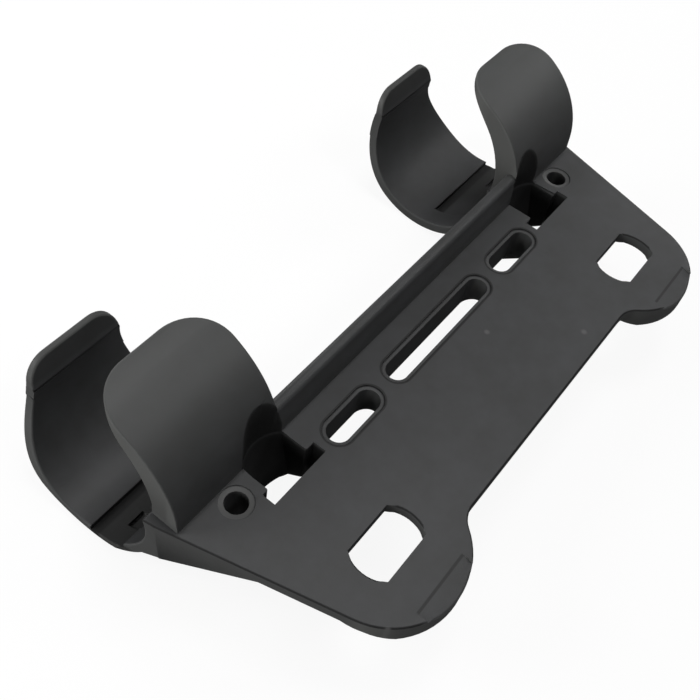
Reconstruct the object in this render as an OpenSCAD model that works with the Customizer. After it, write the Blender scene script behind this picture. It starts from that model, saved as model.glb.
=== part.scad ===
// Pump holder: a one-piece moulded plate with two open round clips
// that screws on at the bottle cage threads of a bicycle frame.
// Millimetres, +Z up. X runs along the pump, Y toward the clips.
// The origin is the middle of the slots on the top face.

/* [Mounting slots] */
// distance between the two short slots (bottle cage standard)
bolt_spacing = 64; // [60:0.5:68]
// clear width of the short slots, for an M5 screw
slot_width = 5.4; // [4.5:0.1:7]
// overall length of each short slot
slot_length = 15.7; // [8:0.1:20]
// overall length of the long middle slot
long_slot_length = 37.7; // [20:0.1:42]
// clear width of the long middle slot
long_slot_width = 5.2; // [4:0.1:7]
// width of the shallow rim around a slot
slot_rim = 0.9; // [0.4:0.1:1.5]
// depth of the shallow rim
rim_depth = 0.4; // [0.2:0.1:1]

/* [Plate] */
// thickness of the flat part
plate_thickness = 3; // [2:0.1:5]
// position of the straight edge between the ears
front_edge_y = -31; // [-36:0.5:-26]
// half length of the plate at the foot of the petals
end_x = 77.4; // [70:0.1:85]
// position of the plate's rear edge along Y
rear_edge_y = 13; // [10:0.1:16]
// where the underside starts to slope down
slope_start_y = -8.3; // [-15:0.1:-4]
// slope of the underside, degrees
slope_angle = 28.4; // [15:0.1:40]

/* [Ears] */
// position of each ear's hole along X
ear_x = 50.6; // [45:0.1:56]
// position of each ear's hole along Y
ear_y = -22.6; // [-28:0.1:-18]
// radius of the rounded ear
ear_radius = 17; // [14:0.1:20]
// radius of the hollow corner beside the ear
ear_fillet = 6; // [3:0.5:12]
// radius of the ear's round-ended hole
ear_hole_radius = 8; // [6:0.1:9]
// distance between the flats of the ear's hole
ear_hole_flats = 9.7; // [7:0.1:14]
// height of the turned-down lip at the ear's tip
lip_height = 6; // [4:0.1:9]
// width of the turned-down lip
lip_width = 3.2; // [2:0.1:5]
// where the lip starts to deepen
lip_start_y = -13; // [-20:0.1:-8]
// where the lip starts to deepen quickly
lip_mid_y = -29; // [-33:0.1:-25]
// height of the edge at that point
lip_mid_height = 4.2; // [3:0.1:6]
// where the lip reaches its full height
lip_full_y = -34.5; // [-38:0.1:-33]
// line where the ear's top bends down
bend_y = -35.2; // [-38:0.1:-32]
// half length of the bent part
bend_half_x = 7.7; // [4:0.1:10]
// drop of the bent part at the ear's edge
bend_drop = 1.3; // [0.5:0.1:3]

/* [Stepped openings and round holes] */
// edge of the stepped opening nearest the slots' line
step_edge_y = -1.1; // [-3:0.1:1]
// inner end of the opening's wide slit
slit_in_x = 42.8; // [41:0.1:45]
// outer end of the opening's wide slit
slit_out_x = 58.8; // [55:0.1:60]
// width of the wide slit
slit_width = 3.2; // [2:0.1:5]
// inner side of the opening's main part
main_in_x = 45.2; // [43:0.1:48]
// outer side of the opening's main part
main_out_x = 57; // [53:0.1:58]
// how far the rounded end reaches into the petal's foot
arch_depth = 2.4; // [1:0.1:4]
// lean of the opening's rear wall below the plate, degrees
opening_draft = 12; // [0:1:20]
// slope of the lower edge of the collar below the opening, degrees
collar_slope = 35; // [28:1:45]
// wall thickness of the collar
collar_wall = 2.2; // [1.5:0.1:4]
// distance between the two round holes
round_hole_spacing = 126.6; // [115:0.1:132]
// position of the round holes along Y
round_hole_y = 4.9; // [2:0.1:7]
// radius of the round holes
round_hole_radius = 2.5; // [1.5:0.1:3]
// radius of the shallow seat around a round hole
seat_radius = 3.7; // [3:0.1:4.5]

/* [Clips] */
// centre of the pump's bore along Y
bore_y = 34; // [30:0.1:40]
// centre of the pump's bore along Z
bore_z = -4; // [-10:0.1:2]
// radius of the pump's bore
bore_radius = 18.5; // [14:0.1:22]
// wall at the bottom of a clip
floor_wall = 2.8; // [2:0.1:5]
// wall at the clip's far side
arm_wall = 2.3; // [1.5:0.1:4]
// inner end of each clip
clip_in_x = 45.4; // [42:0.1:50]
// outer end of each clip at its bottom
clip_out_x = 79.3; // [75:0.1:84]
// inner end of the far arm where its flared tip starts
arm_in_x = 48.3; // [44:0.1:54]
// outer end of the far arm where its flared tip starts
arm_out_x = 72; // [64:0.1:78]
// height where the far arm's flared tip starts
arm_tip_z = 0; // [-6:0.1:4]
// top of the far arm
arm_top_z = 6; // [4:0.1:20]
// corner radius of the far arm's tip
arm_corner = 6; // [3:0.5:6.5]
// outward flare of the far arm's tip, degrees
arm_flare = 16; // [0:0.5:20]
// thickness of the far arm at its top
arm_tip_wall = 1.6; // [1:0.1:3]
// depth of the pad recess in the clip's floor
recess_depth = 1.3; // [0.5:0.1:2]
// far side of the pad recess
recess_far_y = 31.3; // [28:0.1:34]
// near side of the pad recess
recess_near_y = 21.5; // [18:0.1:26]
// inner end of the pad recess
recess_in_x = 51.5; // [48:0.1:60]
// side of the small square pocket in the recess
peg_pocket = 4.5; // [3:0.1:6]
// inner side of the small pocket
peg_x = 69.6; // [60:0.1:73]
// near side of the small pocket
peg_y = 21; // [19:0.1:26]
// depth of the small pocket below the recess
peg_depth = 0.9; // [0.3:0.1:1.5]

/* [Petals and rib] */
// front face of the petals and the rib at the plate
petal_foot_y = 8.8; // [7:0.1:11]
// inner end of each petal
petal_in_x = 46.2; // [44:0.1:50]
// outer end of each petal
petal_out_x = 75.5; // [72:0.1:78]
// radius of the petal's front face
petal_front_radius = 22.8; // [16:0.1:30]
// height of the front curve's centre
petal_front_z = 2.2; // [-2:0.1:6]
// radius of the petal's back face
petal_back_radius = 23.2; // [18:0.1:40]
// centre of the back curve along Y
petal_back_y = 38.5; // [32:0.1:60]
// centre of the back curve along Z
petal_back_z = 1.3; // [-12:0.1:4]
// how far over the bore the petal reaches along Y
petal_top_y = 31.3; // [26:0.1:34]
// corner radius of the petal's rounded tip
petal_corner = 10; // [4:0.5:14]
// height of the rib above the plate
rib_height = 8; // [4:0.1:14]
// thickness of the rib at its top
rib_thickness = 3; // [1.5:0.1:5]

/* [Hidden] */
// facets of a full circle
$fn = 96;
// charcoal plastic
shade = [0.20, 0.20, 0.20];
// how far a cut runs past the face it opens
over = 1;
// length that runs clear of the whole holder
reach = 60;

// how far the underside lies below the top face at a given Y
function under_z(y) = -plate_thickness - (y - slope_start_y) * tan(slope_angle);

// tangent from the plate's rear corner to the rounded ear
corner_dx = end_x - ear_x;
corner_dy = rear_edge_y - ear_y;
corner_gap = norm([corner_dx, corner_dy]);
ear_turn = atan2(corner_dy, corner_dx) - acos(ear_radius / corner_gap);
ear_side = [ear_x + ear_radius * cos(ear_turn), ear_y + ear_radius * sin(ear_turn)];

// centre of the hollow corner beside the ear
fillet_y = front_edge_y - ear_fillet;
fillet_x = ear_x - sqrt(pow(ear_radius + ear_fillet, 2) - pow(fillet_y - ear_y, 2));

// outer circle of the clip wall, shifted so the wall thins toward the arm
clip_outer_radius = bore_radius + (floor_wall + arm_wall) / 2;
clip_outer_shift = (floor_wall - arm_wall) / 2;

// centre of the front curve of the petals
petal_front_y = petal_foot_y + petal_front_radius;

module slot_shape(length, width) {
  hull_x = (length - width) / 2;
  translate([-hull_x, -width / 2]) square([2 * hull_x, width]);
  for (s = [-1, 1]) translate([s * hull_x, 0]) circle(d = width);
}

// draws a Y-Z outline as a bar along X
module along_x(from_x, to_x) {
  translate([from_x, 0, 0]) rotate([90, 0, 90])
    linear_extrude(height = to_x - from_x) children();
}

// draws an X-Z outline as a bar along Y
module along_y(from_y, to_y) {
  translate([0, to_y, 0]) rotate([90, 0, 0])
    linear_extrude(height = to_y - from_y) children();
}

// plan of one half of the plate, ear and clip, X >= 0
module half_plan() {
  difference() {
    union() {
      polygon([
        [0, front_edge_y], [fillet_x, front_edge_y], [ear_x, front_edge_y],
        [ear_x, ear_y], ear_side, [end_x, rear_edge_y], [0, rear_edge_y]
      ]);
      translate([ear_x, ear_y]) circle(r = ear_radius);
      polygon([
        [fillet_x, front_edge_y + over], [ear_x, front_edge_y + over], [ear_x, ear_y - ear_radius / 2],
        [ear_x + (fillet_x - ear_x) * ear_radius / (ear_radius + ear_fillet),
         ear_y + (fillet_y - ear_y) * ear_radius / (ear_radius + ear_fillet)],
        [fillet_x, fillet_y]
      ]);
    }
    translate([fillet_x, fillet_y]) circle(r = ear_fillet);
  }
}

module plate_half() {
  intersection() {
    translate([0, 0, -reach]) linear_extrude(height = reach) half_plan();
    along_x(-over, end_x + over) polygon([
      [-reach, 0], [rear_edge_y, 0], [rear_edge_y, under_z(rear_edge_y)],
      [slope_start_y, -plate_thickness], [-reach, -plate_thickness]
    ]);
  }
}

// skirt below the ear's tip, deeper toward the tip
module ear_lip() {
  intersection() {
    translate([ear_x, ear_y, -lip_height]) difference() {
      cylinder(r = ear_radius, h = lip_height - plate_thickness / 2);
      translate([0, 0, -over]) cylinder(r = ear_radius - lip_width, h = lip_height + over);
    }
    along_x(ear_x - ear_radius, ear_x + ear_radius) polygon([
      [lip_start_y, -plate_thickness / 2], [lip_start_y, -plate_thickness],
      [lip_mid_y, -lip_mid_height],
      [lip_full_y, -lip_height], [-reach, -lip_height], [-reach, -plate_thickness / 2]
    ]);
  }
}

// end of the far arm at a given share of its height, in a smooth curve from
// the clip's end to the tip's
function arm_end_x(share, clip_x, tip_x) = clip_x + (tip_x - clip_x) * pow(share, 2) * (3 - 2 * share);

// wall of the clip below the petal and the arm's tip
module clip_wall() {
  slope_end_y = bore_y - clip_outer_radius * sin(slope_angle);
  steps = 16;
  low_z = bore_z - bore_radius;
  rise = arm_tip_z - low_z;
  intersection() {
    along_x(clip_in_x, clip_out_x + over) difference() {
      union() {
        intersection() {
          translate([bore_y - clip_outer_shift / 2, bore_z - clip_outer_shift])
            circle(r = clip_outer_radius);
          translate([petal_foot_y, -reach]) square([reach, reach + arm_tip_z]);
        }
        polygon([
          [petal_foot_y, 0], [bore_y - bore_radius + over, 0], [slope_end_y, bore_z],
          [slope_end_y, under_z(slope_end_y)], [petal_foot_y, under_z(petal_foot_y)]
        ]);
      }
      translate([bore_y, bore_z]) circle(r = bore_radius);
    }
    union() {
      translate([0, 0, -reach]) linear_extrude(height = 2 * reach) polygon([
        [clip_in_x, petal_foot_y - over],
        [end_x - (rear_edge_y - petal_foot_y + over) * tan(-ear_turn), petal_foot_y - over],
        [end_x, rear_edge_y], [clip_out_x, slope_end_y], [clip_out_x, bore_y], [clip_in_x, bore_y]
      ]);
      along_y(bore_y, bore_y + reach) polygon(concat(
        [[clip_in_x, -reach], [clip_out_x, -reach]],
        [for (i = [0:steps]) [arm_end_x(i / steps, clip_out_x, arm_out_x), low_z + rise * i / steps]],
        [for (i = [steps:-1:0]) [arm_end_x(i / steps, clip_in_x, arm_in_x), low_z + rise * i / steps]]
      ));
    }
  }
}

// rounded, slightly flared end of the far arm, which guides the pump in
module arm_tip() {
  width = arm_out_x - arm_in_x;
  root_in = bore_y + sqrt(pow(bore_radius, 2) - pow(arm_tip_z - bore_z, 2));
  root_out = root_in + arm_wall;
  rise = arm_top_z - arm_tip_z;
  top_in = root_in + rise * tan(arm_flare);
  intersection() {
    along_x(arm_in_x, arm_out_x) polygon([
      [root_in, arm_tip_z], [top_in, arm_top_z], [top_in + arm_tip_wall, arm_top_z],
      [root_out, arm_tip_z], [root_out, arm_tip_z - over / 2],
      [(root_in + root_out) / 2, arm_tip_z - over / 2]
    ]);
    along_y(bore_y, bore_y + reach) translate([arm_in_x, arm_tip_z - over]) {
      square([width, over + rise - arm_corner]);
      translate([arm_corner, 0]) square([width - 2 * arm_corner, over + rise]);
      for (x = [arm_corner, width - arm_corner])
        translate([x, over + rise - arm_corner]) circle(r = arm_corner);
    }
  }
}

// tall tongue that leans over the bore, thick at its foot and thin at its tip
module petal() {
  width = petal_out_x - petal_in_x;
  intersection() {
    along_x(petal_in_x, petal_out_x) difference() {
      intersection() {
        union() {
          translate([petal_front_y, petal_front_z]) circle(r = petal_front_radius);
          translate([petal_foot_y, bore_z]) square([petal_front_radius, petal_front_z - bore_z]);
        }
        translate([petal_foot_y, bore_z]) square([petal_top_y - petal_foot_y, reach]);
      }
      translate([petal_back_y, petal_back_z]) circle(r = petal_back_radius);
      translate([bore_y, bore_z]) circle(r = bore_radius);
    }
    translate([petal_in_x, 0, bore_z]) linear_extrude(height = reach) {
      square([width, petal_top_y - petal_corner]);
      translate([petal_corner, 0]) square([width - 2 * petal_corner, petal_top_y]);
      for (x = [petal_corner, width - petal_corner])
        translate([x, petal_top_y - petal_corner]) circle(r = petal_corner);
    }
  }
}

// wall between the two petals, with a rounded top
module rib() {
  foot_y = petal_front_y - sqrt(pow(petal_front_radius, 2) - pow(rib_height - petal_front_z, 2));
  along_x(-petal_in_x - over, petal_in_x + over) union() {
    polygon([
      [petal_foot_y, -over], [petal_foot_y, petal_front_z], [foot_y, rib_height - rib_thickness / 2],
      [foot_y + rib_thickness, rib_height - rib_thickness / 2], [rear_edge_y, -over]
    ]);
    translate([foot_y + rib_thickness / 2, rib_height - rib_thickness / 2]) circle(d = rib_thickness);
  }
}

// opening with a wide slit, a main part and a rounded end that reaches
// into the petal's foot; below the plate the rear wall leans forward
module stepped_opening() {
  chord = (main_out_x - main_in_x) / 2;
  arch_radius = (pow(chord, 2) + pow(arch_depth, 2)) / (2 * arch_depth);
  arch_y = petal_foot_y + arch_depth - arch_radius;
  translate([0, 0, -reach]) linear_extrude(height = reach + over)
    translate([slit_in_x, step_edge_y]) square([slit_out_x - slit_in_x, slit_width]);
  translate([0, 0, -over / 2]) linear_extrude(height = petal_front_radius) {
    polygon([
      [main_in_x, step_edge_y], [slit_out_x - over, step_edge_y], [main_out_x, petal_foot_y],
      [main_in_x, petal_foot_y]
    ]);
    intersection() {
      translate([main_in_x + chord, arch_y]) circle(r = arch_radius);
      translate([main_in_x, petal_foot_y - over]) square([2 * chord, arch_depth + 2 * over]);
    }
  }
  intersection() {
    translate([main_in_x, step_edge_y, -reach]) cube([2 * chord, reach, reach]);
    union() {
      translate([main_in_x + chord, arch_y, 0]) rotate([-opening_draft, 0, 0])
        translate([0, 0, -reach]) cylinder(r = arch_radius, h = 2 * reach);
      along_x(main_in_x, main_out_x) polygon([
        [step_edge_y, 0], [arch_y, 0], [arch_y - reach * tan(opening_draft), -reach], [step_edge_y, -reach]
      ]);
    }
  }
}

// thin wall round the opening, deeper than the plate's underside
module opening_collar() {
  collar_z = -plate_thickness - (rear_edge_y - slope_start_y) * tan(collar_slope);
  along_x(slit_in_x - collar_wall, slit_out_x + collar_wall) polygon([
    [slope_start_y, -plate_thickness / 2], [slope_start_y, -plate_thickness],
    [rear_edge_y + collar_z * tan(opening_draft), collar_z], [rear_edge_y, -plate_thickness / 2]
  ]);
}

module ear_cuts() {
  translate([ear_x, ear_y, -reach]) linear_extrude(height = reach + over) intersection() {
    circle(r = ear_hole_radius);
    square([2 * ear_hole_radius, ear_hole_flats], center = true);
  }
  edge_y = ear_y - ear_radius;
  along_x(ear_x - bend_half_x, ear_x + bend_half_x) polygon([
    [bend_y, 0], [edge_y, -bend_drop], [edge_y - over, -bend_drop],
    [edge_y - over, over], [bend_y, over]
  ]);
}

// ring sector cut into the clip's floor
module floor_cut(depth, from_x, to_x, from_y, to_y) {
  translate([0, bore_y, bore_z]) intersection() {
    rotate([0, 90, 0]) translate([0, 0, from_x])
      cylinder(r = bore_radius + depth, h = to_x - from_x);
    translate([from_x, from_y - bore_y, -bore_radius - floor_wall])
      cube([to_x - from_x, to_y - from_y, bore_radius]);
  }
}

module clip_cuts() {
  floor_cut(recess_depth, recess_in_x, clip_out_x + over, recess_near_y, recess_far_y);
  floor_cut(recess_depth + peg_depth, peg_x, peg_x + peg_pocket, peg_y, peg_y + peg_pocket);
}

module round_hole() {
  translate([round_hole_spacing / 2, round_hole_y, -reach]) cylinder(r = round_hole_radius, h = reach + over);
  translate([round_hole_spacing / 2, round_hole_y, -rim_depth]) cylinder(r = seat_radius, h = over);
}

module slots() {
  for (s = [-1, 1]) translate([s * bolt_spacing / 2, 0, -reach]) {
    linear_extrude(height = reach + over) slot_shape(slot_length, slot_width);
    translate([0, 0, reach - rim_depth]) linear_extrude(height = over)
      slot_shape(slot_length + 2 * slot_rim, slot_width + 2 * slot_rim);
  }
  translate([0, 0, -reach]) linear_extrude(height = reach + over) slot_shape(long_slot_length, long_slot_width);
  translate([0, 0, -rim_depth]) linear_extrude(height = over)
    slot_shape(long_slot_length + 2 * slot_rim, long_slot_width + 2 * slot_rim);
}

module bracket() {
  color(shade) difference() {
    union() {
      for (s = [0, 1]) mirror([s, 0, 0]) {
        plate_half();
        ear_lip();
        clip_wall();
        opening_collar();
        arm_tip();
        petal();
      }
      rib();
    }
    for (s = [0, 1]) mirror([s, 0, 0]) {
      stepped_opening();
      ear_cuts();
      clip_cuts();
      round_hole();
    }
    slots();
  }
}

bracket();
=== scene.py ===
import math

import bmesh
import bpy
import numpy as np
from mathutils import Matrix, Vector
from mathutils.bvhtree import BVHTree


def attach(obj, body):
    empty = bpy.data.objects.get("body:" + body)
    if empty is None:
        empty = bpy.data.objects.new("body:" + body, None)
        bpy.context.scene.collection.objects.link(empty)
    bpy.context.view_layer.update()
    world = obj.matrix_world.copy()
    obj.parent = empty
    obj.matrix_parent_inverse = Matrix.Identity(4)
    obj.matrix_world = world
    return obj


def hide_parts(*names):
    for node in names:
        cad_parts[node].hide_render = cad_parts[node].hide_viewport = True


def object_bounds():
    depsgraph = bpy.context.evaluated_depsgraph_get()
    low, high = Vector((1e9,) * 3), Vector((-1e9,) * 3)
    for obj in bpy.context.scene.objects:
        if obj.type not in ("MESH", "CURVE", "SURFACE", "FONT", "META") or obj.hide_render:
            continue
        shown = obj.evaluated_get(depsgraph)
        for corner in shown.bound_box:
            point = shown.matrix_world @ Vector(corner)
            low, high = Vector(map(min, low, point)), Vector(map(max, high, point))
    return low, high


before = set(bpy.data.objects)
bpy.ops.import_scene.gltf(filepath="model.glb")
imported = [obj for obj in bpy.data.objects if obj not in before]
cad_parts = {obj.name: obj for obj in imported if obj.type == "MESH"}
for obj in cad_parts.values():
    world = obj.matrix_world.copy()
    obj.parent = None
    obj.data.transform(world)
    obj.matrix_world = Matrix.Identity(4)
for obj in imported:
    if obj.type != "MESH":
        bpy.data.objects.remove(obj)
cad_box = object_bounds()

# Viewpoint. The holder is seen from above its left end, close by, so the
# near clip looks larger than the far one. The place and the turn come from
# the slots, the ears and the rib in the photograph.
eye = Vector((-0.12632, -0.04687, 0.16417))
to_right = Vector((0.608379, -0.784419, 0.120672))
to_top = Vector((0.596247, 0.552096, 0.582820))
to_back = Vector((-0.523798, -0.282625, 0.803591))
turn = Matrix((to_right, to_top, to_back)).transposed().to_4x4()
camera = bpy.data.objects.new("camera", bpy.data.cameras.new("camera"))
bpy.context.scene.collection.objects.link(camera)
bpy.context.scene.camera = camera
camera.matrix_world = Matrix.Translation(eye) @ turn
camera.data.sensor_width = 36
camera.data.lens = 47.545
camera.data.clip_start = 0.005

# Moulded body. One shot of dyed dark plastic: plate, ears, rib, petals and
# clips. The mould leaves the outer edges slightly rounded, and the shallow
# rims round the slots almost crisp. Two screws through the slots hold it.
outer_round = 0.00045
inner_round = 0.00035
rim_round = 0.00010
rim_floor = -0.00040
rim_reach_x, rim_reach_y = 0.0675, 0.0095
rim_play = 2e-5
opening_in_x, opening_out_x = 0.0425, 0.0590
opening_step_y, opening_half_step = 0.0025, 0.0038
free_share = 1.2
weld_gap = 2e-6
shortest_edge = 5e-6
flat_angle = math.radians(0.4)
sharp_angle = math.radians(24)
shading_angle = math.radians(42)
stray_gap = 0.00015
edge_mask_depth = 0.00006
inner_depth = 0.00004

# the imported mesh, with its flat faces made whole again
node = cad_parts["bracket"]
mould = bmesh.new()
mould.from_mesh(node.data)
bmesh.ops.transform(mould, matrix=node.matrix_world, verts=mould.verts)
bmesh.ops.remove_doubles(mould, verts=mould.verts, dist=weld_gap)
bmesh.ops.dissolve_limit(
    mould, angle_limit=flat_angle, use_dissolve_boundaries=False,
    verts=mould.verts, edges=mould.edges)
bmesh.ops.dissolve_degenerate(mould, dist=shortest_edge, edges=mould.edges)
width_of = mould.edges.layers.float.new("bevel_weight_edge")
for edge in mould.edges:
    edge.smooth = len(edge.link_faces) == 2 and edge.calc_face_angle(0) < sharp_angle
mould.edges.index_update()

# how far each crisp edge may be rounded: not where an outer and an inner
# edge meet, and not beside another edge that is closer than the rounding
crisp = [edge for edge in mould.edges if not edge.smooth]
head = np.array([edge.verts[0].co for edge in crisp])
run = np.array([edge.verts[1].co - edge.verts[0].co for edge in crisp])
for edge in crisp:
    middle = (edge.verts[0].co + edge.verts[1].co) / 2
    at_rim_height = rim_floor - rim_play < middle.z < rim_play
    on_rim = at_rim_height and abs(middle.y) < rim_reach_y and abs(middle.x) < rim_reach_x
    stepped = (abs(middle.y - opening_step_y) < opening_half_step
               and opening_in_x < abs(middle.x) < opening_out_x)
    if on_rim and not stepped:
        size = rim_round
    else:
        size = outer_round if edge.is_convex else inner_round
    share = np.clip(((np.array(middle) - head) * run).sum(1) / (run * run).sum(1), 0, 1)
    gaps = np.linalg.norm(head + share[:, None] * run - np.array(middle), axis=1)
    joined = {other.index for corner in edge.verts for other in corner.link_edges}
    apart = [gap for gap, other in zip(gaps, crisp) if other.index not in joined]
    mixed = any(
        len({other.is_convex for other in corner.link_edges if not other.smooth}) > 1
        for corner in edge.verts)
    if not mixed and min(apart) >= free_share * size:
        edge[width_of] = size / outer_round
sharp_form = BVHTree.FromBMesh(mould)
skin = bpy.data.meshes.new("sharp_body")
mould.to_mesh(skin)
mould.free()

# the rounded body
holder = bpy.data.objects.new("moulded_body", skin)
bpy.context.scene.collection.objects.link(holder)
rounding = holder.modifiers.new("mould_radius", "BEVEL")
rounding.limit_method = "WEIGHT"
rounding.width = outer_round
rounding.segments = 3
rounding.use_clamp_overlap = False
rounding.miter_outer = "MITER_ARC"
rounding.loop_slide = False
holder.modifiers.new("plain_faces", "TRIANGULATE")
depsgraph = bpy.context.evaluated_depsgraph_get()
body = bpy.data.meshes.new_from_object(holder.evaluated_get(depsgraph))
body.name = "moulded_body"
if "custom_normal" in body.attributes:
    body.attributes.remove(body.attributes["custom_normal"])
holder.modifiers.clear()
holder.data = body

# corners that the rounding threw off the form are drawn back onto it
beside = [[] for _ in body.vertices]
for first, last in body.edge_keys:
    beside[first].append(last)
    beside[last].append(first)
thrown = {
    corner.index for corner in body.vertices
    if sharp_form.find_nearest(corner.co)[3] > stray_gap}
while thrown:
    settled = set()
    for number in thrown:
        near = [body.vertices[n].co for n in beside[number] if n not in thrown]
        if near:
            middle = sum(near, Vector()) / len(near)
            body.vertices[number].co = sharp_form.find_nearest(middle)[0]
            settled.add(number)
    thrown -= settled
    if not settled:
        break

# one mask marks the rounded outer edges, which carry edge wear and a painted highlight; the
# other marks the filled inside corners, which carry painted shade
wear_and_sheen = body.attributes.new("wear_and_sheen", "FLOAT", "POINT")
inner = body.attributes.new("inner", "FLOAT", "POINT")
for corner in body.vertices:
    corner.co = [min(max(place, low), high) for place, low, high in zip(corner.co, *cad_box)]
    spot, facing = sharp_form.find_nearest(corner.co)[:2]
    depth = (corner.co - spot).dot(facing)
    wear_and_sheen.data[corner.index].value = min(1.0, max(0.0, -depth / edge_mask_depth))
    inner.data[corner.index].value = min(1.0, max(0.0, depth / inner_depth))
body.polygons.foreach_set("use_smooth", [True] * len(body.polygons))
body.set_sharp_from_angle(angle=shading_angle)
shading = holder.modifiers.new("even_shading", "WEIGHTED_NORMAL")
shading.weight = 50
shading.keep_sharp = True
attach(holder, "root")
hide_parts("bracket")


# one socket of a material; sums and products of it add their Math nodes
class Shade:
    def __init__(self, tree, socket):
        self.tree, self.socket = tree, socket

    def node(self, kind, settings=None, out=0, **inputs):
        made = self.tree.nodes.new(kind)
        for name, value in (settings or {}).items():
            setattr(made, name, value)
        for name, value in inputs.items():
            key = int(name[1:]) if name[0] == "_" else name.replace("_", " ")
            if isinstance(value, Shade):
                self.tree.links.new(value.socket, made.inputs[key])
            else:
                made.inputs[key].default_value = value
        return Shade(self.tree, made.outputs[out])

    def maths(self, operation, first, second=0.0):
        return self.node("ShaderNodeMath", {"operation": operation}, _0=first, _1=second)

    def __add__(self, other):
        return self.maths("ADD", self, other)

    __radd__ = __add__

    def __mul__(self, other):
        return self.maths("MULTIPLY", self, other)

    __rmul__ = __mul__

    def __sub__(self, other):
        return self.maths("SUBTRACT", self, other)

    def __rsub__(self, other):
        return self.maths("SUBTRACT", other, self)

    def part(self, axis):
        return self.node("ShaderNodeSeparateXYZ", out="XYZ".index(axis), Vector=self)

    def size(self):
        return self.maths("ABSOLUTE", self)

    def root(self):
        return self.maths("SQRT", self)

    def above(self, other):
        return self.maths("MAXIMUM", self, other)

    def below(self, other):
        return self.maths("MINIMUM", self, other)

    def upto(self, low, high):
        return self.node(
            "ShaderNodeMapRange", {"interpolation_type": "SMOOTHSTEP"},
            _0=self, _1=low, _2=high)

    def band(self, low, full_low, full_high, high):
        return self.upto(low, full_low) * (1.0 - self.upto(full_high, high))

    def mixed(self, low, high):
        return self.node(
            "ShaderNodeMix", {"data_type": "RGBA", "clamp_factor": True}, out=2,
            _0=self, _6=low, _7=high)


# charcoal plastic, satin to matte, with faint cloudy patches and the very
# fine grain of a spark-eroded mould
plastic = bpy.data.materials.new("charcoal_plastic")
plastic.use_nodes = True
tree = plastic.node_tree
shader = tree.nodes["Principled BSDF"]
start = Shade(tree, None)
place = start.node("ShaderNodeTexCoord", out=3)
cloud = start.node("ShaderNodeTexNoise", Vector=place, Scale=95.0, Detail=3.0, Roughness=0.55)
patch = start.node("ShaderNodeTexNoise", Vector=place, Scale=310.0, Detail=2.0, Roughness=0.6)
grain = start.node("ShaderNodeTexNoise", Vector=place, Scale=3400.0, Detail=2.0, Roughness=0.7)
tone = (cloud * 0.65 + patch * 0.35 - 0.32) * 2.6
edge_wear_and_sheen = start.node("ShaderNodeAttribute", {"attribute_name": "wear_and_sheen"}, out=2)
hollow = start.node("ShaderNodeAttribute", {"attribute_name": "inner"}, out=2)
facing = start.node("ShaderNodeNewGeometry", out=1)
along, across, up = (place.part(axis) for axis in "XYZ")
side = along.size()
on_top = up.band(-0.0008, -0.0005, 0.0003, 0.0006)


# signed distance from the edge of a slot, negative in the slot
def slot_edge(middle, half_run, radius):
    reach = ((side - middle).size() - half_run).above(0.0)
    return (reach * reach + across * across).root() - radius


# the same for a round edge, on both halves of the holder
def round_edge(middle_x, middle_y, radius):
    reach, rise = side - middle_x, across - middle_y
    return (reach * reach + rise * rise).root() - radius


# a small pale mark at one place
def fleck(x, y, radius):
    reach, rise = along - x, across - y
    return 1.0 - (reach * reach + rise * rise).root().upto(radius * 0.3, radius)


# painted highlight rings and painted shade outlines on the slots' rims, and painted highlight on
# the round holes' seats
short_slot_x, short_half_run, short_radius = 0.0320, 0.00515, 0.0027
long_half_run, long_radius = 0.01625, 0.0026
round_hole_x, round_hole_y, round_hole_radius = 0.0633, 0.0049, 0.0025
short_slot = slot_edge(short_slot_x, short_half_run, short_radius)
slots = short_slot.below(slot_edge(0.0, long_half_run, long_radius))
ring_highlight = on_top * slots.band(-0.0002, 0.0, 0.0005, 0.0007)
outline_shade = on_top * slots.band(0.0006, 0.0008, 0.0012, 0.0015)
seat = round_edge(round_hole_x, round_hole_y, round_hole_radius)
seat_highlight = on_top * seat.band(-0.0002, 0.0, 0.0010, 0.0013)
near_seat = seat.band(0.0003, 0.0006, 0.0020, 0.0024)

# painted shade along the fold line on each ear, and painted light on the ear's outer wall
fold_y, ear_x = -0.0353, 0.0506
fold_shade = on_top * (1.0 - (across - fold_y).size().upto(0.00015, 0.00045))
fold_shade = fold_shade * (1.0 - (side - ear_x).size().upto(0.0074, 0.0080))
ear_wall_light = (1.0 - facing.part("Z").size().upto(0.4, 0.7)) * (1.0 - across.upto(-0.029, -0.025))

# the floor of each clip: painted shadow on the recess toward the outer end, and a painted shade
# line along the groove on its far side
in_clip = up.band(-0.0244, -0.0241, -0.019, -0.018) * side.upto(0.0511, 0.0516)
groove_shade = in_clip * across.band(0.0286, 0.0294, 0.0312, 0.0317)
recess_shadow = in_clip * across.band(0.0165, 0.0180, 0.0298, 0.0304) * side.upto(0.0560, 0.0640)

# painted shade on the walls of the stepped openings and on their rounded end in the petal
arch_x, arch_y, arch_radius = 0.0511, 0.00275, 0.00845
well_wall = (1.0 - up.upto(-0.0014, -0.0005)) * across.band(-0.0016, -0.0012, 0.0125, 0.0135)
well_end = 1.0 - round_edge(arch_x, arch_y, arch_radius).upto(0.0001, 0.0003)
well_end = well_end * across.upto(0.0078, 0.0084) * up.upto(-0.001, 0.0)
well_shade = well_wall * side.upto(0.0422, 0.0426) + well_end * side.upto(0.0450, 0.0452)
well_shade = well_shade * (1.0 - side.upto(0.0590, 0.0594))

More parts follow.
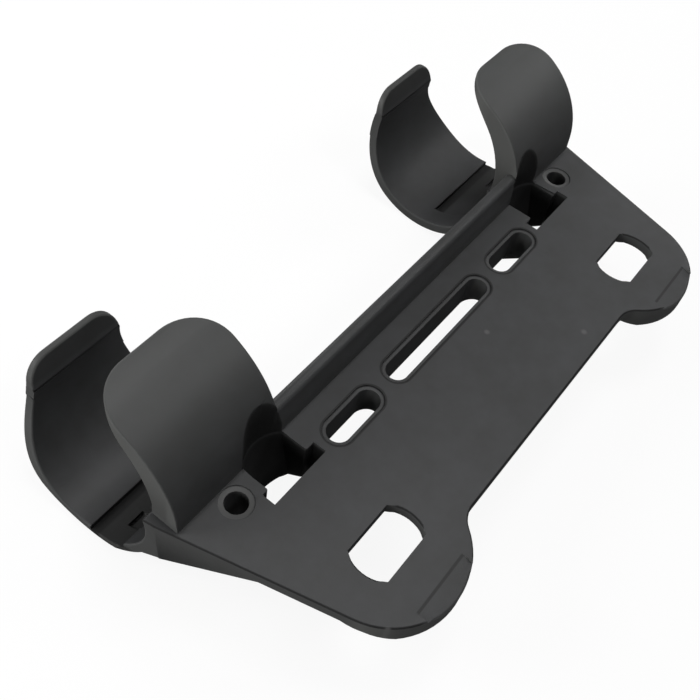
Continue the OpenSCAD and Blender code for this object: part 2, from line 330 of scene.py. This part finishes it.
# painted shade at the petal's foot, and painted light on the faces at the holder's ends and on
# the clip arm's rim
foot_shade = up.upto(0.0008, 0.0020) * (1.0 - up.upto(0.003, 0.015)) * across.upto(0.0105, 0.0120)
end_face_light = facing.part("X").size().upto(0.6, 0.95) * (up.upto(0.0, 0.003) * 0.40 + 0.40)
arm_rim_light = facing.part("Z").upto(0.3, 0.7) * across.upto(0.0455, 0.0470) * up.upto(-0.012, -0.008)

# two moulding flecks on the plate and a nick in the near ear's edge
small_fleck, large_fleck = 0.0009, 0.0010
flecks = on_top * (fleck(0.0063, -0.0093, small_fleck) + fleck(0.0223, -0.0264, large_fleck))
flecks = flecks + fleck(-0.0645, -0.0330, large_fleck) * 1.2

# the colour in layers, from the plain plastic through painted light and shade to the marks on it
shadow_tone = (0.014, 0.014, 0.013, 1)
# painted shade lines on the slots' outlines, the ears' folds and the clips' grooves, and darker
# along the plate's rounded top edges
shade_lines = outline_shade * 0.9 + fold_shade * 0.8 + groove_shade * 0.9 + edge_wear_and_sheen * on_top * (1.0 - near_seat)
# painted shade in the filled inside corners, not on the arms
corner_shade = hollow * (1.0 - across.upto(0.040, 0.044)) * 0.6
colour = tone.mixed((0.034, 0.0345, 0.0345, 1), (0.045, 0.046, 0.048, 1))
for mask, layer in (
        # painted light: lighter higher up, toward the top of the petals
        (up.upto(0.004, 0.022) * 0.5, (0.075, 0.077, 0.075, 1)),
        # painted light on the end faces, the ears' outer walls and the arms' rims
        (end_face_light + ear_wall_light * 0.5 + arm_rim_light * 0.4, (0.105, 0.107, 0.103, 1)),
        # painted shade at the petals' feet and painted shadow on the recesses
        (foot_shade * 0.35 + recess_shadow * 0.65, shadow_tone),
        # paler along the rounded edges off the top: painted highlight with some edge wear
        (edge_wear_and_sheen * (1.0 - on_top) * 0.12, (0.085, 0.086, 0.082, 1)),
        # painted highlight on the slots' rings and on the round holes' seats
        (ring_highlight * 0.2 + seat_highlight * 0.7, (0.095, 0.096, 0.094, 1)),
        # the dark painted shade lines
        (shade_lines, (0.008, 0.008, 0.008, 1)),
        # painted shade in the stepped openings
        (well_shade * 0.8, (0.006, 0.006, 0.006, 1)),
        # painted shade in the filled inside corners
        (corner_shade, shadow_tone),
        (flecks * 0.4, (0.14, 0.14, 0.138, 1))):
    colour = mask.mixed(colour, layer)
tree.links.new(colour.socket, shader.inputs["Base Color"])

# the gloss, duller on the rounded edges where they wear, and the relief of the grain
grain_depth = 0.00006
rough = cloud * 0.10 + grain * 0.10 + edge_wear_and_sheen * 0.3 + 0.40
tree.links.new(rough.socket, shader.inputs["Roughness"])
relief = start.node(
    "ShaderNodeBump", Strength=0.35, Distance=grain_depth,
    Height=grain * 0.6 + patch * 0.4)
tree.links.new(relief.socket, shader.inputs["Normal"])
shader.inputs["Specular IOR Level"].default_value = 0.32
holder.data.materials.append(plastic)

# Floor. A plain pale sheet under the clips, which carries the soft shadow.
# To the eye it is white paper; the light it throws back up is held low, so
# that the walls of the openings stay as dark as in a small product tent.
floor_level = cad_box[0][2]
far = 3.0
thrown_back = (0.10, 0.10, 0.10, 1)
paper_white = (0.92, 0.92, 0.92, 1)
sheet = bpy.data.meshes.new("floor")
sheet.from_pydata(
    [(-far, -far, floor_level), (far, -far, floor_level),
     (far, far, floor_level), (-far, far, floor_level)],
    [], [(0, 1, 2, 3)])
floor = bpy.data.objects.new("floor", sheet)
bpy.context.scene.collection.objects.link(floor)
paper = bpy.data.materials.new("pale_floor")
paper.use_nodes = True
floor_tree = paper.node_tree
matt = floor_tree.nodes["Principled BSDF"]
matt.inputs["Roughness"].default_value = 0.9
matt.inputs["Specular IOR Level"].default_value = 0.0
page = Shade(floor_tree, None)
seen = page.node("ShaderNodeLightPath", out=0)
spot = page.node("ShaderNodeTexCoord", out=3)
sheet_x, sheet_y = spot.part("X"), spot.part("Y")
shadow_reach, white_reach = 0.25, 1.2
away = (sheet_x * sheet_x + sheet_y * sheet_y).root().upto(shadow_reach, white_reach)
sheet_colour = seen.mixed(thrown_back, paper_white)
floor_tree.links.new(sheet_colour.socket, matt.inputs["Base Color"])
white = page.node("ShaderNodeEmission", Color=(1, 1, 1, 1), Strength=1.0)
surface = page.node(
    "ShaderNodeMixShader", _0=seen * (away * 0.10 + 0.90),
    _1=Shade(floor_tree, matt.outputs[0]), _2=white)
floor_tree.links.new(surface.socket, floor_tree.nodes["Material Output"].inputs["Surface"])
floor.data.materials.append(paper)

# Light. Soft round panels of a small studio: above, before the plate, behind
# the clips and beyond both ends, all turned to the middle of the holder, in
# a faint even surround that the eye sees as white.
world = bpy.data.worlds.new("surround")
bpy.context.scene.world = world
world.use_nodes = True
sky = Shade(world.node_tree, None)
direct = sky.node("ShaderNodeLightPath", out=0)
backdrop = world.node_tree.nodes["Background"]
backdrop.inputs["Color"].default_value = (1, 1, 1, 1)
level = direct * 0.95 + 0.05
world.node_tree.links.new(level.socket, backdrop.inputs["Strength"])
aim = Vector((0, 0.01, 0))
for name, hung_at, size, power in (
        ("top_panel", (0.10, 0.06, 0.66), 0.22, 1.4),
        ("plate_panel", (0, -0.36, 0.56), 0.20, 0.9),
        ("petal_panel", (0.36, -0.30, 0.44), 0.20, 0.7),
        ("rear_panel", (-0.36, 0.36, 0.32), 0.24, 1.6),
        ("far_panel", (0.60, 0.02, 0.10), 0.24, 1.0),
        ("back_panel", (0.10, 0.60, 0.16), 0.24, 1.6),
        ("end_panel", (-0.60, 0.02, 0), 0.45, 2.6)):
    lamp = bpy.data.lights.new(name, "AREA")
    lamp.shape = "DISK"
    lamp.size = size
    lamp.energy = power
    panel = bpy.data.objects.new(name, lamp)
    bpy.context.scene.collection.objects.link(panel)
    panel.location = hung_at
    panel.rotation_euler = (aim - Vector(hung_at)).to_track_quat("-Z", "Y").to_euler()

bpy.context.scene.view_settings.view_transform = "Standard"
